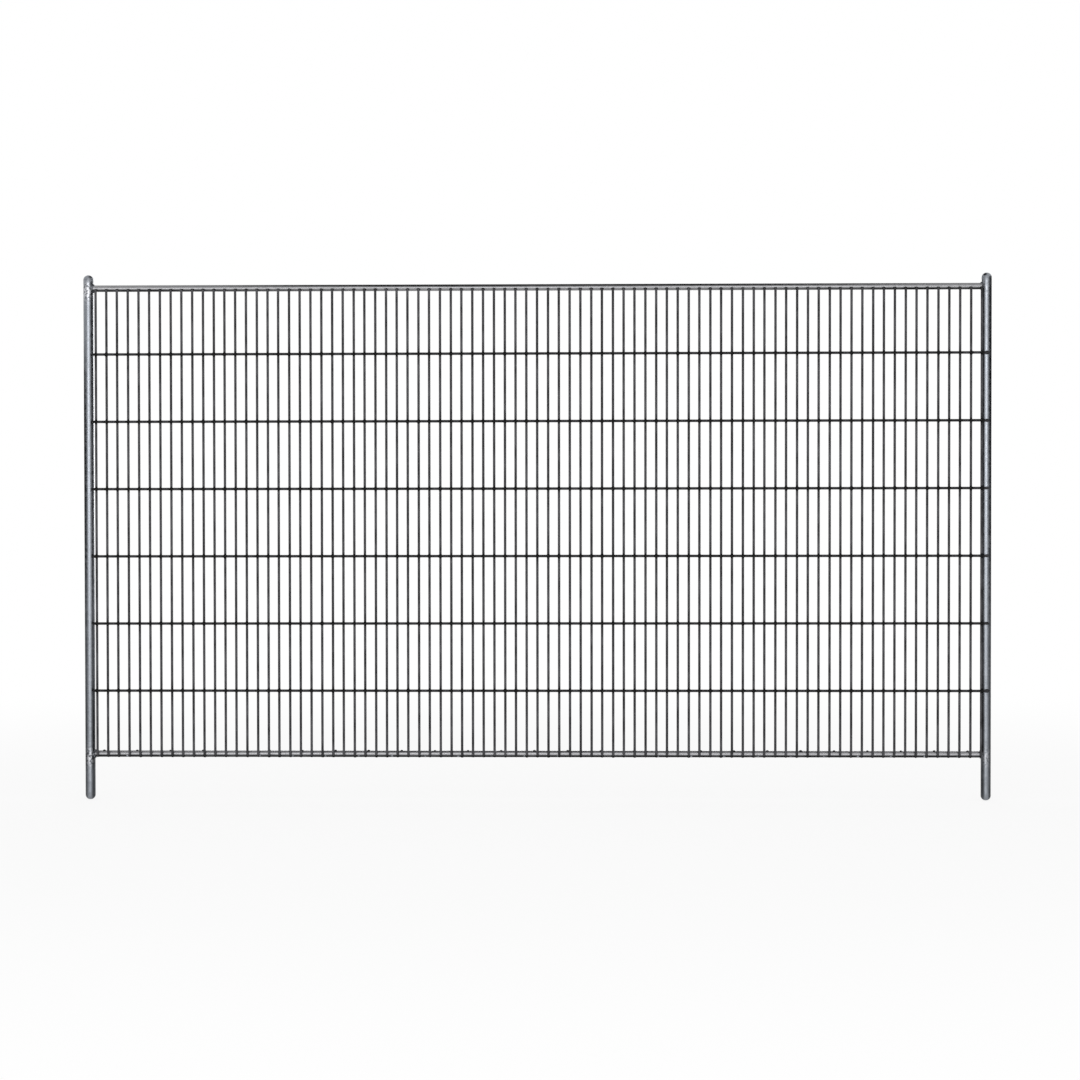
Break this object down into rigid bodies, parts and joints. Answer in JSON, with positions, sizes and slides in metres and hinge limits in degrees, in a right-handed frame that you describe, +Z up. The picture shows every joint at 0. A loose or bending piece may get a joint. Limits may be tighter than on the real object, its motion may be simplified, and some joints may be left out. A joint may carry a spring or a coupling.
{
  "type": "anti-climb fence panel",
  "caption": "Flat fence panel: a frame of round galvanised tubes with a close welded wire mat on its front, too narrow for a foothold; its two feet drop into weighted blocks.",
  "frame": {"origin": "the flat under the left upright's foot, on the upright's axis", "axes": "+X along the panel to the right upright, +Y from the mat's side to the back, +Z up along the uprights"},
  "size_m": [3.45, 0.0482, 2],
  "materials": {
    "galvanised_tube": "hot-dip galvanised, weathered",
    "mesh_wire": "dark drawn wire, dull",
    "weld_metal": "weld bead under zinc spray"
  },
  "bodies": {
    "root": {"left_upright": "galvanised_tube", "left_foot_cap": "galvanised_tube", "left_top_cap": "galvanised_tube", "right_upright": "galvanised_tube", "right_foot_cap": "galvanised_tube", "right_top_cap": "galvanised_tube", "bottom_rail": "galvanised_tube", "top_rail": "galvanised_tube", "bottom_left_weld": "weld_metal", "bottom_right_weld": "weld_metal", "top_left_weld": "weld_metal", "top_right_weld": "weld_metal", "mesh_left": "mesh_wire", "mesh_middle": "mesh_wire", "mesh_right": "mesh_wire"}
  },
  "joints": []
}
